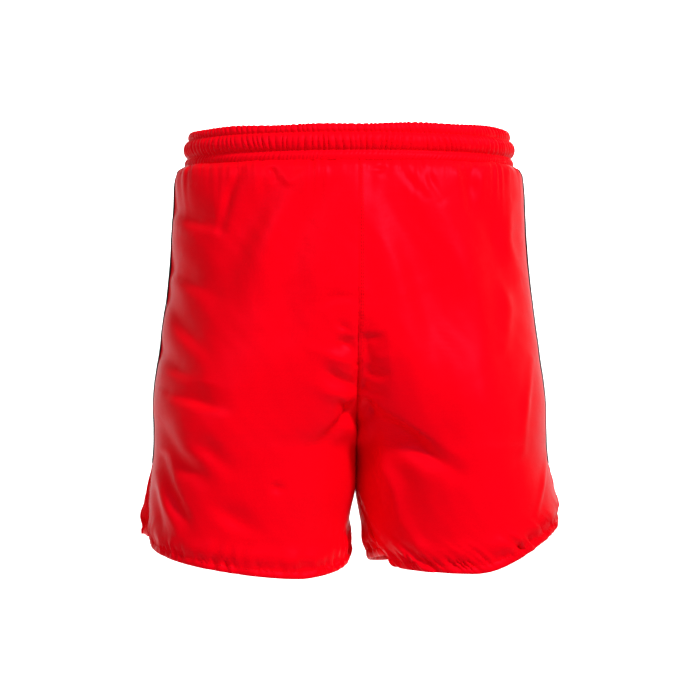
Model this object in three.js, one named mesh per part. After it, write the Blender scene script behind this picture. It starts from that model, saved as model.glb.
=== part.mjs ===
// Running shorts in thin woven cloth, filled out as if worn, with no wearer inside.
// Millimetres. +Z is up, +X is the wearer's right and +Y is the wearer's front.
// The origin is the middle of the waist opening, half way up the elastic, where the wearer holds the
// garment up. Every piece of cloth is its own closed wall, and neighbours keep a small gap at a seam.

import * as THREE from "three";

// ---------------------------------------------------------------- driving dimensions

const CLOTH = 1.2; // wall of a single layer of cloth
const HEM_CLOTH = 2.2; // wall of a hem, which is cloth turned up on itself
const TAPE_CLOTH = 0.8;
const SEAM_GAP = 0.4; // between two pieces that are sewn together

const BAND_TOP = 15;
const BAND_BOTTOM = -16;
const BODY_TOP = BAND_BOTTOM - SEAM_GAP;
const WAIST_HALF_WIDTH = 142;
const WAIST_BACK = 106;
const WAIST_FRONT = 102;
const BAND_WALL = 3;

const CROTCH_Z = -256;
const CROTCH_Y = -6;
const RISE_CURVE = 135; // height over which the centre seam turns under to the crotch
const LEG_CENTRE = 94; // distance of a leg's middle from the centre plane
const CENTRE_LEAN = 4.4; // the middle of the garment hangs a little to the right,
const CENTRE_SKEW = 0.03; // and more so at the back than at the front

const SIDE_SEAM_Y = -6; // the side seam lies a little behind the middle of the waist
const SLIT_TOP = -274;
const SLIT_CORNER = -350; // nominal height of a hem's corner at the slit
const TRIM_Z = -266; // where the outer side is drawn in the most
const HEM_HEIGHT = 7;
const LEG_PART = -296; // down to here the two legs touch
const LEG_END = -366; // where a leg's turn and stride are measured

const TAPE_WIDTH = 12;
const TAPE_LIFT = 0.5; // clear space between the tape and the cloth under it

// Rings down the body: height, half width at the side seam, depth behind, depth before.
const RINGS = [
  [BODY_TOP, 144.5, 107, 103],
  [-21, 149.5, 112, 107],
  [-31, 152, 116, 110],
  [-75, 154.5, 121, 113],
  [-128, 159, 126, 114],
  [-180, 166, 126, 113],
  [-215, 171, 124, 112],
  [-256, 173, 122, 111],
  [SLIT_TOP, 174.5, 120, 110],
  [-300, 177.5, 119, 109],
  [-370, 178, 117, 107],
];

const LEFT = -1;
const RIGHT = 1;

// How each leg hangs: how far its inner side stands from the centre plane at the hem (stride) and half
// way there (nip), how full that side is, how far the inseam is turned to the back at the hem, and how
// far the outer side is drawn in just above the slit (trim).
const LEFT_LEG = { hand: LEFT, stride: 0, nip: 5, fullness: 0.72, turn: 0, trim: 3 };
const RIGHT_LEG = { hand: RIGHT, stride: 14, nip: 0, fullness: 0.52, turn: 80, trim: 1 };

// The panels of each leg. At the slit the corner swings out, sooner or later (onset), and parts from its
// neighbour. The hem is lowest at hem, and rises by corner from the share curl on, and by inner inside.
const PANELS = {
  back_left: {
    ...LEFT_LEG, face: -1, swing: -7, onset: 1.3, part: 20, hem: -368, corner: 22, curl: 0.38, inner: 20,
  },
  back_right: {
    ...RIGHT_LEG, face: -1, swing: 4.5, onset: 0.6, part: 22, hem: -363, corner: 37, curl: 0.38, inner: 3,
  },
  front_left: {
    ...LEFT_LEG, face: 1, swing: 6, onset: 1, part: 7, hem: -367, corner: 29, curl: 0.6, inner: 18,
  },
  front_right: {
    ...RIGHT_LEG, face: 1, swing: 4, onset: 0.6, part: 12, hem: -366, corner: 42, curl: 0.6, inner: 15,
  },
};

// The largest folds, as soft troughs (negative) and ridges (positive) in the cloth. Each runs from
// one point through another to a third, given as x and z, with its half width and its height.
const BACK_FOLDS = [
  { path: [[12, -224], [62, -261], [108, -292]], width: 13, height: -8.5 },
  { path: [[14, -198], [64, -232], [122, -266]], width: 15, height: 5 },
  { path: [[2, -216], [-20, -240], [-45, -264]], width: 9, height: -6 },
  { path: [[18, -24], [63, -76], [97, -159]], width: 17, height: -6 },
  { path: [[97, -159], [101, -205], [100, -245]], width: 17, height: -4 },
  { path: [[22, -51], [42, -118], [56, -178]], width: 14, height: 4 },
  { path: [[101, -43], [126, -134], [134, -201]], width: 15, height: 4 },
  { path: [[-3, -30], [-18, -66], [-34, -104]], width: 11, height: -4 },
  { path: [[-32, -43], [-58, -92], [-82, -143]], width: 14, height: 4 },
  { path: [[-57, -26], [-88, -70], [-112, -118]], width: 14, height: -5 },
  { path: [[-34, -186], [-16, -193], [2, -206]], width: 10, height: -5 },
  { path: [[-150, -214], [-126, -222], [-100, -228]], width: 11, height: -6 },
  { path: [[-146, -190], [-122, -196], [-96, -202]], width: 13, height: 4 },
  { path: [[-160, -225], [-140, -275], [-113, -328]], width: 11, height: -6 },
  { path: [[-134, -236], [-112, -285], [-92, -335]], width: 13, height: 4 },
  { path: [[-166, -255], [-155, -295], [-138, -332]], width: 9, height: 4 },
];

const FRONT_FOLDS = [
  { path: [[-8, -212], [-58, -244], [-112, -278]], width: 14, height: -8 },
  { path: [[-12, -188], [-60, -220], [-116, -252]], width: 15, height: 5 },
  { path: [[6, -218], [30, -240], [64, -262]], width: 10, height: -6 },
  { path: [[-16, -26], [-42, -110], [-62, -220]], width: 18, height: -6 },
  { path: [[22, -26], [46, -90], [52, -150]], width: 15, height: -5 },
  { path: [[88, -34], [100, -110], [92, -190]], width: 16, height: 4 },
  { path: [[148, -150], [124, -200], [100, -240]], width: 14, height: -6 },
  { path: [[160, -240], [138, -290], [112, -335]], width: 12, height: -5 },
  { path: [[-148, -60], [-128, -120], [-108, -180]], width: 15, height: -5 },
  { path: [[-160, -215], [-146, -270], [-136, -325]], width: 11, height: -5 },
];

// ---------------------------------------------------------------- curves

const lerp = THREE.MathUtils.lerp;
const clamp = THREE.MathUtils.clamp;
const smoothstep = THREE.MathUtils.smoothstep;

// The value at height z of one column of RINGS, on a smooth curve through the rings.
function ringValue(z, column) {
  const last = RINGS.length - 1;
  let i = 0;
  while (i < last - 1 && z < RINGS[i + 1][0]) i++;
  const slope = (k) => {
    const a = RINGS[Math.max(k - 1, 0)];
    const b = RINGS[Math.min(k + 1, last)];
    return (b[column] - a[column]) / (b[0] - a[0]);
  };
  const [z0, z1] = [RINGS[i][0], RINGS[i + 1][0]];
  const span = z1 - z0;
  const t = clamp((z - z0) / span, 0, 1);
  const t2 = t * t;
  const t3 = t2 * t;
  return (
    (2 * t3 - 3 * t2 + 1) * RINGS[i][column] +
    (t3 - 2 * t2 + t) * span * slope(i) +
    (3 * t2 - 2 * t3) * RINGS[i + 1][column] +
    (t3 - t2) * span * slope(i + 1)
  );
}

// A quarter of a superellipse from (x0, y0), where it runs along X, to (x1, y1), where it runs along Y.
function roundCorner(x0, y0, x1, y1, squareness, steps) {
  return Array.from({ length: steps + 1 }, (_, k) => {
    const angle = (k / steps) * (Math.PI / 2);
    const power = 2 / squareness;
    return new THREE.Vector2(
      x0 + (x1 - x0) * Math.sin(angle) ** power,
      y1 + (y0 - y1) * Math.cos(angle) ** power,
    );
  });
}

// One half of a leg's level outline at height z, for the right-hand side, from its inner end to its side.
// Above the crotch the inner end is the centre seam.
function halfOutline(panel, face, z) {
  const opened = clamp((SLIT_TOP - z) / (SLIT_TOP - SLIT_CORNER), 0, 1.4) ** panel.onset;
  const drawnIn = panel.trim * Math.exp(-(((z - TRIM_Z) / 42) ** 2));
  const side = ringValue(z, 1) - drawnIn + panel.swing * opened;
  const sideY = SIDE_SEAM_Y + face * panel.part * opened;
  const depth = face * ringValue(z, face < 0 ? 2 : 3);

  const rise = clamp((z - CROTCH_Z) / RISE_CURVE, 0, 1);
  const risen = (1 - (1 - rise) ** 2.2) ** (1 / 2.2);
  const parted = clamp((LEG_PART - z) / (LEG_PART - LEG_END), 0, 1);
  const innerX = panel.stride * parted ** 1.1 + panel.nip * Math.sin(Math.PI * parted);
  const innerY = lerp(CROTCH_Y, depth, risen);
  const middle = LEG_CENTRE * (1 - smoothstep(rise, 0, 1));

  const points = roundCorner(middle, depth, side, sideY, 2.12, 40);
  if (middle > 0.5) {
    const bend = lerp(innerX, middle * 0.5, rise);
    const inner = new THREE.CubicBezierCurve(
      new THREE.Vector2(innerX, innerY),
      new THREE.Vector2(lerp(innerX, bend, 0.6), lerp(innerY, depth, panel.fullness)),
      new THREE.Vector2(lerp(middle, bend, panel.fullness), depth),
      new THREE.Vector2(middle, depth),
    );
    points.unshift(...inner.getPoints(24).slice(0, -1));
  }
  return points;
}

// The share of the way from the crotch to the end of the leg.
function downLeg(z) {
  return clamp((CROTCH_Z - z) / (CROTCH_Z - LEG_END), 0, 1.05);
}

// The level outline of a panel at height z, from its inner edge to its side. Where the leg is turned,
// the inner end of the leg's back half belongs to the front panel.
function outline(panel, z) {
  const turned = panel.turn * downLeg(z) ** 1.6;
  const own = halfOutline(panel, panel.face, z);
  if (turned < 1) return own;
  const back = panel.face < 0 ? own : halfOutline({ ...panel, part: 0 }, -1, z);
  const lengths = distances(back);
  const cut = pointAt(back, lengths, turned);
  if (panel.face < 0) return [cut, ...back.filter((_, i) => lengths[i] > turned + 0.5)];
  return [cut, ...back.filter((_, i) => lengths[i] < turned - 0.5).reverse(), ...own.slice(1)];
}

// The distance along an outline at each of its points.
function distances(points) {
  const lengths = [0];
  for (let i = 1; i < points.length; i++) {
    lengths.push(lengths[i - 1] + points[i].distanceTo(points[i - 1]));
  }
  return lengths;
}

// How far it is round a panel at height z.
function girth(panel, z) {
  return distances(outline(panel, z)).pop();
}

// The point of an outline at a distance along it.
function pointAt(points, lengths, at) {
  let i = 1;
  while (i < points.length - 1 && lengths[i] < at) i++;
  const t = (at - lengths[i - 1]) / (lengths[i] - lengths[i - 1]);
  return points[i - 1].clone().lerp(points[i], t);
}

// The point a given share of the way along an outline, which stops half a seam gap short at each end.
function alongOutline(points, share) {
  const lengths = distances(points);
  const total = lengths[lengths.length - 1];
  return pointAt(points, lengths, lerp(SEAM_GAP / 2, total - SEAM_GAP / 2, share));
}

// ---------------------------------------------------------------- the cloth's surface

// The smooth surface of a panel: u runs from the centre seam or inseam to the side, z is the height.
function smoothPoint(panel, u, z) {
  const p = alongOutline(outline(panel, z), u);
  return new THREE.Vector3(panel.hand * Math.max(p.x, SEAM_GAP / 2), p.y, z);
}

// The unit normal of the smooth surface, pointing out of the garment.
function outwardNormal(panel, u, z) {
  const du = 0.004;
  const dz = 1.5;
  const across = smoothPoint(panel, Math.min(u + du, 1), z).sub(smoothPoint(panel, Math.max(u - du, 0), z));
  const down = smoothPoint(panel, u, z - dz).sub(smoothPoint(panel, u, Math.min(z + dz, BODY_TOP)));
  const normal = across.cross(down).normalize();
  return normal.multiplyScalar(panel.hand * panel.face);
}

// How far the folds move the cloth out (positive) or in at a point of the smooth surface.
function foldHeight(panel, point) {
  const folds = panel.face < 0 ? BACK_FOLDS : FRONT_FOLDS;
  let height = 0;
  for (const fold of folds) {
    const [a, b, c] = fold.path.map(([x, z]) => new THREE.Vector2(x, z));
    const curve = new THREE.SplineCurve([a, b, c]);
    let nearest = Infinity;
    let share = 0;
    for (let k = 0; k <= 16; k++) {
      const distance = curve.getPoint(k / 16).distanceTo(new THREE.Vector2(point.x, point.z));
      if (distance < nearest) [nearest, share] = [distance, k / 16];
    }
    const taper = 0.35 + 0.65 * Math.sin(Math.PI * clamp(share, 0.05, 0.95));
    height += fold.height * taper * Math.exp(-((nearest / fold.width) ** 2));
  }
  const fromSeam = smoothstep(Math.abs(point.x), 2, 16);
  const fromBand = smoothstep(BODY_TOP - point.z, 0, 22);
  return height * fromSeam * fromBand;
}

// The outside of a panel with its folds, moved out along the normal by lift.
function clothPoint(panel, u, z, lift) {
  const point = smoothPoint(panel, u, z);
  const fromSide = smoothstep(1 - u, 0, 0.12);
  const out = foldHeight(panel, point) * fromSide + lift;
  const moved = point.addScaledVector(outwardNormal(panel, u, z), out);
  if (moved.x * panel.hand < SEAM_GAP / 2) moved.x = (panel.hand * SEAM_GAP) / 2;
  const lean = CENTRE_LEAN - CENTRE_SKEW * moved.y;
  moved.x += lean * clamp(1 - Math.abs(moved.x) / 140, 0, 1);
  return moved;
}

// Height of a panel's lower edge, which curves up to the slit and a little up to the inseam.
function hemEdge(panel, u) {
  const toInseam = clamp(1 - u / 0.4, 0, 1) ** 1.3;
  return panel.hem + panel.corner * smoothstep(u, panel.curl, 1) + panel.inner * toInseam;
}

// Height of the lower end of a panel's side edge, above its hem.
function sideLine(panel) {
  return hemEdge(panel, 1) + HEM_HEIGHT + SEAM_GAP;
}

// ---------------------------------------------------------------- solids

// A closed wall from a grid of points on its outside and the same grid on its inside.
function wall(outside, inside, flip) {
  const rows = outside.length;
  const columns = outside[0].length;
  const positions = [...outside.flat(), ...inside.flat()].flatMap((p) => p.toArray());
  const index = (layer, r, c) => layer * rows * columns + r * columns + c;
  const faces = [];
  const quad = (a, b, c, d) => faces.push(...(flip ? [a, c, b, a, d, c] : [a, b, c, a, c, d]));
  for (let r = 0; r < rows - 1; r++) {
    for (let c = 0; c < columns - 1; c++) {
      quad(index(0, r, c), index(0, r + 1, c), index(0, r + 1, c + 1), index(0, r, c + 1));
      quad(index(1, r, c), index(1, r, c + 1), index(1, r + 1, c + 1), index(1, r + 1, c));
    }
  }
  const rim = [];
  for (let c = 0; c < columns - 1; c++) rim.push([0, c]);
  for (let r = 0; r < rows - 1; r++) rim.push([r, columns - 1]);
  for (let c = columns - 1; c > 0; c--) rim.push([rows - 1, c]);
  for (let r = rows - 1; r > 0; r--) rim.push([r, 0]);
  rim.forEach(([r, c], k) => {
    const [nr, nc] = rim[(k + 1) % rim.length];
    quad(index(0, r, c), index(0, nr, nc), index(1, nr, nc), index(1, r, c));
  });
  const geometry = new THREE.BufferGeometry();
  geometry.setAttribute("position", new THREE.Float32BufferAttribute(positions, 3));
  geometry.setIndex(faces);
  geometry.computeVertexNormals();
  return geometry;
}

// A wall on a panel's surface, between two edges given as heights along u.
function wallOnPanel(panel, us, rowShares, topAt, bottomAt, outer, thickness) {
  const grid = (lift) =>
    rowShares.map((v) => us.map((u) => clothPoint(panel, u, lerp(topAt(u), bottomAt(u), v), lift)));
  return wall(grid(outer), grid(outer - thickness), panel.hand * panel.face > 0);
}

const evenly = (count) => Array.from({ length: count + 1 }, (_, k) => k / count);

// Shares down a panel, closer together below the waistband, where the cloth swells out.
const PANEL_ROWS = [0, 0.01, 0.025, 0.05, 0.085, ...evenly(18).slice(1).map((v) => 0.085 + 0.915 * v)];
const COLUMNS = evenly(16); // the same for a panel and its hem, so that their edges match

function panelGeometry(panel) {
  const bottom = (u) => hemEdge(panel, u) + HEM_HEIGHT + SEAM_GAP;
  return wallOnPanel(panel, COLUMNS, PANEL_ROWS, () => BODY_TOP, bottom, 0, CLOTH);
}

function hemGeometry(panel) {
  const top = (u) => hemEdge(panel, u) + HEM_HEIGHT;
  const bottom = (u) => hemEdge(panel, u);
  const stand = (HEM_CLOTH - CLOTH) / 2; // a turned hem stands out as far as it stands in
  return wallOnPanel(panel, COLUMNS, evenly(1), top, bottom, stand, HEM_CLOTH);
}

// The tape lies over the side seam, so its points are those of the two panels under it, moved out.
function sideTapeGeometry(hand) {
  const [back, front] = Object.values(PANELS).filter((panel) => panel.hand === hand);
  const across = [-0.5, -0.17, 0.17, 0.5].map((t) => t * TAPE_WIDTH);
  const heights = PANEL_ROWS.map((v) => lerp(BODY_TOP, sideLine(back), v)).filter((z) => z > SLIT_TOP);
  const grid = (lift) =>
    heights.map((z) =>
      across.map((distance) => {
        const panel = distance < 0 ? back : front;
        return clothPoint(panel, 1 - Math.abs(distance) / girth(panel, z), z, lift);
      }),
    );
  return wall(grid(TAPE_LIFT + TAPE_CLOTH), grid(TAPE_LIFT), hand < 0);
}

// The waistband's section, as pairs of height and swell. Two sewn rows pinch it into three rolls.
const BAND_OUTSIDE = [
  [BAND_TOP, -2.2],
  [11, -0.8],
  [7, -1.4],
  [3, 1.2],
  [-4, 1.8],
  [-8.5, -0.4],
  [-12.5, 1.2],
  [BAND_BOTTOM, 1.2],
];
const BAND_INSIDE = [
  [BAND_BOTTOM, -BAND_WALL],
  [-8.5, -BAND_WALL + 0.3],
  [7, -BAND_WALL],
  [BAND_TOP, -BAND_WALL - 0.8],
];
const GATHERS = 48;
const GATHER_DEPTH = 0.45;

function waistbandGeometry() {
  const section = [...BAND_OUTSIDE, ...BAND_INSIDE];
  const steps = GATHERS * 2;
  const positions = [];
  for (let k = 0; k < steps; k++) {
    const angle = (k / steps) * Math.PI * 2;
    const depth = Math.sin(angle) < 0 ? WAIST_BACK : WAIST_FRONT;
    const normal = new THREE.Vector2(
      Math.cos(angle) / WAIST_HALF_WIDTH,
      Math.sin(angle) / depth,
    ).normalize();
    section.forEach(([z, swell], i) => {
      const gathered = i < BAND_OUTSIDE.length ? GATHER_DEPTH * (k % 2 ? 1 : -1) : 0;
      positions.push(
        WAIST_HALF_WIDTH * Math.cos(angle) + normal.x * (swell + gathered),
        depth * Math.sin(angle) + normal.y * (swell + gathered),
        z,
      );
    });
  }
  const n = section.length;
  const faces = [];
  for (let k = 0; k < steps; k++) {
    const next = ((k + 1) % steps) * n;
    for (let i = 0; i < n; i++) {
      const j = (i + 1) % n;
      const [a, b, c, d] = [k * n + i, k * n + j, next + j, next + i];
      faces.push(a, b, c, a, c, d);
    }
  }
  const geometry = new THREE.BufferGeometry();
  geometry.setAttribute("position", new THREE.Float32BufferAttribute(positions, 3));
  geometry.setIndex(faces);
  geometry.computeVertexNormals();
  return geometry;
}

// ---------------------------------------------------------------- the garment

const redCloth = () => new THREE.MeshStandardMaterial({ color: 0xf0041c, roughness: 0.5, metalness: 0 });
const charcoalTape = () => new THREE.MeshStandardMaterial({ color: 0x2b2a2c, roughness: 0.6, metalness: 0 });

function piece(name, geometry, material) {
  const mesh = new THREE.Mesh(geometry, material);
  mesh.name = name;
  return mesh;
}

const shorts = new THREE.Group();
shorts.add(piece("waistband", waistbandGeometry(), redCloth()));
for (const [name, panel] of Object.entries(PANELS)) {
  shorts.add(piece(name, panelGeometry(panel), redCloth()));
  shorts.add(piece(`hem_${name}`, hemGeometry(panel), redCloth()));
}
shorts.add(piece("side_tape_left", sideTapeGeometry(LEFT), charcoalTape()));
shorts.add(piece("side_tape_right", sideTapeGeometry(RIGHT), charcoalTape()));

export default shorts;
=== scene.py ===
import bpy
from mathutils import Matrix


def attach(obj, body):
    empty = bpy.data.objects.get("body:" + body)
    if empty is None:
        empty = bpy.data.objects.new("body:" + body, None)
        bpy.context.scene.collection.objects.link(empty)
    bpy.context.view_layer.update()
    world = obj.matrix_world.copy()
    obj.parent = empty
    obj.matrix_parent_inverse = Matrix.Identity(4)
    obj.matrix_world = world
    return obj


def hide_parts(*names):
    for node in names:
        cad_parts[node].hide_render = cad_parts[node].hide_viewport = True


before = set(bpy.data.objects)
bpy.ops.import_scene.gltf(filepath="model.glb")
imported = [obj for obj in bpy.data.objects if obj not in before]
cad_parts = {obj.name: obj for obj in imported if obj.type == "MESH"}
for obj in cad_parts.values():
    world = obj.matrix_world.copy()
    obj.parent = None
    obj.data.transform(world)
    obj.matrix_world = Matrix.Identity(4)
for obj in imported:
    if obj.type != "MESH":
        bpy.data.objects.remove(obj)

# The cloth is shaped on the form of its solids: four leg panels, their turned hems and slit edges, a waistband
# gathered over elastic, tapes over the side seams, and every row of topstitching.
"""Looks of a pair of red running shorts, filled out as worn.

The cloth is shaped by hand on the form of its solids: four leg panels, their turned hems and slit
edges, a waistband gathered over elastic, tapes over the side seams, and every row of topstitching.
Sizes are in millimetres until a point is placed, and in metres on the finished meshes.
"""

import logging
import math
from dataclasses import dataclass, field
from enum import Enum
from typing import Callable, Sequence

import bmesh
import bpy
import numpy as np
from mathutils import Matrix, Vector

log = logging.getLogger("running_shorts")
Array = np.ndarray
Surface = Callable[[Array, Array], Array]
Vec3 = tuple[float, float, float]
MM = 0.001


# ------------------------------------------------------------------ small helpers


def srgb(code: str) -> tuple[float, float, float, float]:
    """Turns an sRGB hex colour into linear RGBA.

    Args:
        code: six hex digits.

    Returns:
        The linear colour with an alpha of 1.
    """
    parts = [int(code[i : i + 2], 16) / 255 for i in (0, 2, 4)]
    linear = [c / 12.92 if c <= 0.04045 else ((c + 0.055) / 1.055) ** 2.4 for c in parts]
    return (linear[0], linear[1], linear[2], 1.0)


def smoothstep(value: Array, low: float, high: float) -> Array:
    """A smooth rise from 0 at low to 1 at high."""
    t = np.clip((np.asarray(value, float) - low) / (high - low), 0, 1)
    return t * t * (3 - 2 * t)


def bump(value: Array, middle: float, width: float) -> Array:
    """A round bump of height 1 at middle, which falls to 1/e at width from it."""
    return np.exp(-(((value - middle) / width) ** 2))


def ripple(along: Array, pitch: float, seed: float) -> Array:
    """An uneven wave, as of cloth drawn up by a thread.

    Args:
        along: distance along the thread, in mm.
        pitch: mean distance between crests, in mm.
        seed: shifts the unevenness.

    Returns:
        The height of the wave, from -1 to 1.
    """
    turns = along / pitch
    uneven = 0.42 * np.sin(turns * 1.21 + seed) + 0.3 * np.sin(turns * 2.33 + 2.1 * seed)
    strength = 0.72 + 0.28 * np.sin(turns * 0.83 + 3.3 * seed)
    return strength * np.sin(2 * np.pi * turns + 2 * np.pi * uneven)


def spline(path: Sequence[tuple[float, float]], steps: int) -> Array:
    """Points on a Catmull-Rom curve through the points of a path.

    Args:
        path: two or more points.
        steps: number of stretches that the curve is cut into.

    Returns:
        An array of steps + 1 points.
    """
    p = np.asarray(path, float)
    p = np.vstack([2 * p[0] - p[1], p, 2 * p[-1] - p[-2]])
    at = np.linspace(0, len(p) - 3 - 1e-9, steps + 1)
    i = at.astype(int)
    t = (at - i)[:, None]
    a, b, c, d = p[i], p[i + 1], p[i + 2], p[i + 3]
    return 0.5 * (2 * b + (c - a) * t + (2 * a - 5 * b + 4 * c - d) * t**2 + (3 * b - a - 3 * c + d) * t**3)


# ------------------------------------------------------------------ the garment's form


class Hand(Enum):
    """The wearer's left or right, as the sign of X."""

    LEFT = -1
    RIGHT = 1


class Face(Enum):
    """The wearer's back or front, as the sign of Y."""

    BACK = -1
    FRONT = 1


@dataclass(frozen=True)
class Fold:
    """A trough or ridge in the cloth.

    Attributes:
        path: points of its line, as x and z in mm.
        height: how far it stands out, or in if negative, in mm.
        left: half width to the left of the way it runs, in mm.
        right: half width to the right.
        crisp: whether the left side is a straight slope that starts at a sharp bend.
        ends: share of the height left at its first and last points.
    """

    path: tuple[tuple[float, float], ...]
    height: float
    left: float
    right: float
    crisp: bool = False
    ends: tuple[float, float] = (0.4, 0.4)

    STRETCHES = 20

    def lift(self, x: Array, z: Array) -> Array:
        """How far this fold moves the cloth out at each point.

        Args:
            x: distance to the wearer's right, in mm.
            z: height, in mm.

        Returns:
            The movement along the cloth's normal, in mm.
        """
        line = spline(self.path, self.STRETCHES)
        reach = 3 * max(self.left, self.right)
        low, high = line.min(axis=0) - reach, line.max(axis=0) + reach
        near = (x > low[0]) & (x < high[0]) & (z > low[1]) & (z < high[1])
        out = np.zeros(x.shape)
        if not near.any():
            return out
        px, pz = x[near], z[near]
        nearest, share, side = np.full(px.shape, 1e9), np.zeros(px.shape), np.ones(px.shape)
        for i, (start, end) in enumerate(zip(line[:-1], line[1:])):
            run = end - start
            t = ((px - start[0]) * run[0] + (pz - start[1]) * run[1]) / max(run @ run, 1e-9)
            t = np.clip(t, 0, 1)
            dx, dz = px - start[0] - t * run[0], pz - start[1] - t * run[1]
            far = np.hypot(dx, dz)
            closer = far < nearest
            nearest = np.where(closer, far, nearest)
            share = np.where(closer, (i + t) / self.STRETCHES, share)
            side = np.where(closer, np.sign(run[0] * dz - run[1] * dx), side)
        across = nearest / np.where(side > 0, self.left, self.right)
        profile = np.exp(-(across**2))
        if self.crisp:
            slope = np.clip(1.1 - np.sqrt(across**2 + 0.01), 0, 1)
            profile = np.where(side > 0, slope, profile)
        risen, sunk = smoothstep(share, 0, 0.5), smoothstep(share, 0.4, 1)
        taper = 1 - (1 - self.ends[0]) * (1 - risen) - (1 - self.ends[1]) * sunk
        out[near] = self.height * taper * profile
        return out


@dataclass(frozen=True)
class Leg:
    """How a leg hangs: how far its inner side stands from the middle at the hem and half way there,
    how full that side is, how far the inseam is turned to the back at the hem, and how far the outer
    side is drawn in just above the slit."""

    hand: Hand
    stride: float
    nip: float
    fullness: float
    turn: float
    trim: float


@dataclass(frozen=True)
class Cut:
    """One leg panel: its corner's swing, onset and parting at the slit, and its hem's lowest point,
    rise at the slit from the share curl on, and rise at the inseam."""

    name: str
    leg: Leg
    face: Face
    swing: float
    onset: float
    part: float
    hem: float
    corner: float
    curl: float
    inner: float
    folds: tuple[Fold, ...] = field(default=(), repr=False)


@dataclass(frozen=True)
class Body:
    """Sizes that the whole garment shares, in mm."""

    top: float = -16.4
    crotch_z: float = -256
    crotch_y: float = -6
    rise_curve: float = 135
    leg_centre: float = 94
    lean: float = 4.4
    skew: float = 0.03
    seam_y: float = -6
    slit_top: float = -274
    slit_corner: float = -350
    trim_z: float = -266
    leg_part: float = -296
    leg_end: float = -366
    rings: tuple[tuple[float, float, float, float], ...] = (
        (-16.4, 144.5, 107, 103),
        (-21, 149.5, 112, 107),
        (-31, 152, 116, 110),
        (-75, 154.5, 121, 113),
        (-128, 159, 126, 114),
        (-180, 166, 126, 113),
        (-215, 171, 124, 112),
        (-256, 173, 122, 111),
        (-274, 174.5, 120, 110),
        (-300, 177.5, 119, 109),
        (-370, 178, 117, 107),
    )

    def ring(self, z: float, column: int) -> float:
        """A size of the body at height z, on a smooth curve through the rings.

        Args:
            z: height.
            column: 1 for the half width, 2 for the depth behind, 3 for the depth before.

        Returns:
            The size.
        """
        rings = np.asarray(self.rings)
        last = len(rings) - 1
        i = int(np.clip(np.searchsorted(-rings[:, 0], -z, side="right") - 1, 0, last - 1))

        def slope(k: int) -> float:
            """The curve's slope at ring k."""
            a, b = rings[max(k - 1, 0)], rings[min(k + 1, last)]
            return (b[column] - a[column]) / (b[0] - a[0])

        span = rings[i + 1][0] - rings[i][0]
        t = float(np.clip((z - rings[i][0]) / span, 0, 1))
        return (
            (2 * t**3 - 3 * t**2 + 1) * rings[i][column]
            + (t**3 - 2 * t**2 + t) * span * slope(i)
            + (3 * t**2 - 2 * t**3) * rings[i + 1][column]
            + (t**3 - t**2) * span * slope(i + 1)
        )

    def down_leg(self, z: float) -> float:
        """The share of the way from the crotch to the end of the leg."""
        return float(np.clip((self.crotch_z - z) / (self.crotch_z - self.leg_end), 0, 1.05))

    def half_outline(self, cut: Cut, face: Face, part: float, z: float) -> Array:
        """Half of a leg's level outline, from its inner end to its side, drawn for the right leg.

        Args:
            cut: the panel.
            face: which half of the leg.
            part: how far the half parts from the other at the slit.
            z: height.

        Returns:
            Points as x and y.
        """
        opened = float(np.clip((self.slit_top - z) / (self.slit_top - self.slit_corner), 0, 1.4))
        opened **= cut.onset
        drawn_in = cut.leg.trim * math.exp(-(((z - self.trim_z) / 42) ** 2))
        side = self.ring(z, 1) - drawn_in + cut.swing * opened
        side_y = self.seam_y + face.value * part * opened
        depth = face.value * self.ring(z, 2 if face is Face.BACK else 3)
        rise = float(np.clip((z - self.crotch_z) / self.rise_curve, 0, 1))
        risen = (1 - (1 - rise) ** 2.2) ** (1 / 2.2)
        parted = float(np.clip((self.leg_part - z) / (self.leg_part - self.leg_end), 0, 1))
        inner_x = cut.leg.stride * parted**1.1 + cut.leg.nip * math.sin(math.pi * parted)
        inner_y = self.crotch_y + (depth - self.crotch_y) * risen
        middle = self.leg_centre * (1 - rise * rise * (3 - 2 * rise))

        angle = np.linspace(0, np.pi / 2, 41)
        power = 2 / 2.12
        x = middle + (side - middle) * np.sin(angle) ** power
        y = side_y + (depth - side_y) * np.clip(np.cos(angle), 0, 1) ** power
        corner = np.column_stack([x, y])
        if middle <= 0.5:
            return corner
        bend = inner_x + (middle * 0.5 - inner_x) * rise
        full = cut.leg.fullness
        p0, p3 = np.array([inner_x, inner_y]), np.array([middle, depth])
        p1 = np.array([inner_x + (bend - inner_x) * 0.6, inner_y + (depth - inner_y) * full])
        p2 = np.array([middle + (bend - middle) * full, depth])
        t = np.linspace(0, 1, 25)[:-1, None]
        bezier = (1 - t) ** 3 * p0 + 3 * (1 - t) ** 2 * t * p1 + 3 * (1 - t) * t**2 * p2 + t**3 * p3
        return np.vstack([bezier, corner])

    def outline(self, cut: Cut, z: float) -> Array:
        """A panel's level outline, from its inner edge to its side. Where the leg is turned, the inner
        end of the leg's back half belongs to the front panel.

        Args:
            cut: the panel.
            z: height.

        Returns:
            Points as x and y, drawn for the right leg.
        """
        turned = cut.leg.turn * self.down_leg(z) ** 1.6
        own = self.half_outline(cut, cut.face, cut.part, z)
        if turned < 1:
            return own
        back = own if cut.face is Face.BACK else self.half_outline(cut, Face.BACK, 0, z)
        far = distances(back)
        start = np.array([[np.interp(turned, far, back[:, 0]), np.interp(turned, far, back[:, 1])]])
        if cut.face is Face.BACK:
            return np.vstack([start, back[far > turned + 0.5]])
        return np.vstack([start, back[far < turned - 0.5][::-1], own[1:]])


def distances(points: Array) -> Array:
    """The distance along a line at each of its points."""
    return np.concatenate([[0.0], np.cumsum(np.hypot(*np.diff(points, axis=0).T))])


BODY = Body()
LEFT_LEG = Leg(Hand.LEFT, stride=0, nip=5, fullness=0.72, turn=0, trim=3)
RIGHT_LEG = Leg(Hand.RIGHT, stride=14, nip=0, fullness=0.52, turn=80, trim=1)

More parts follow.
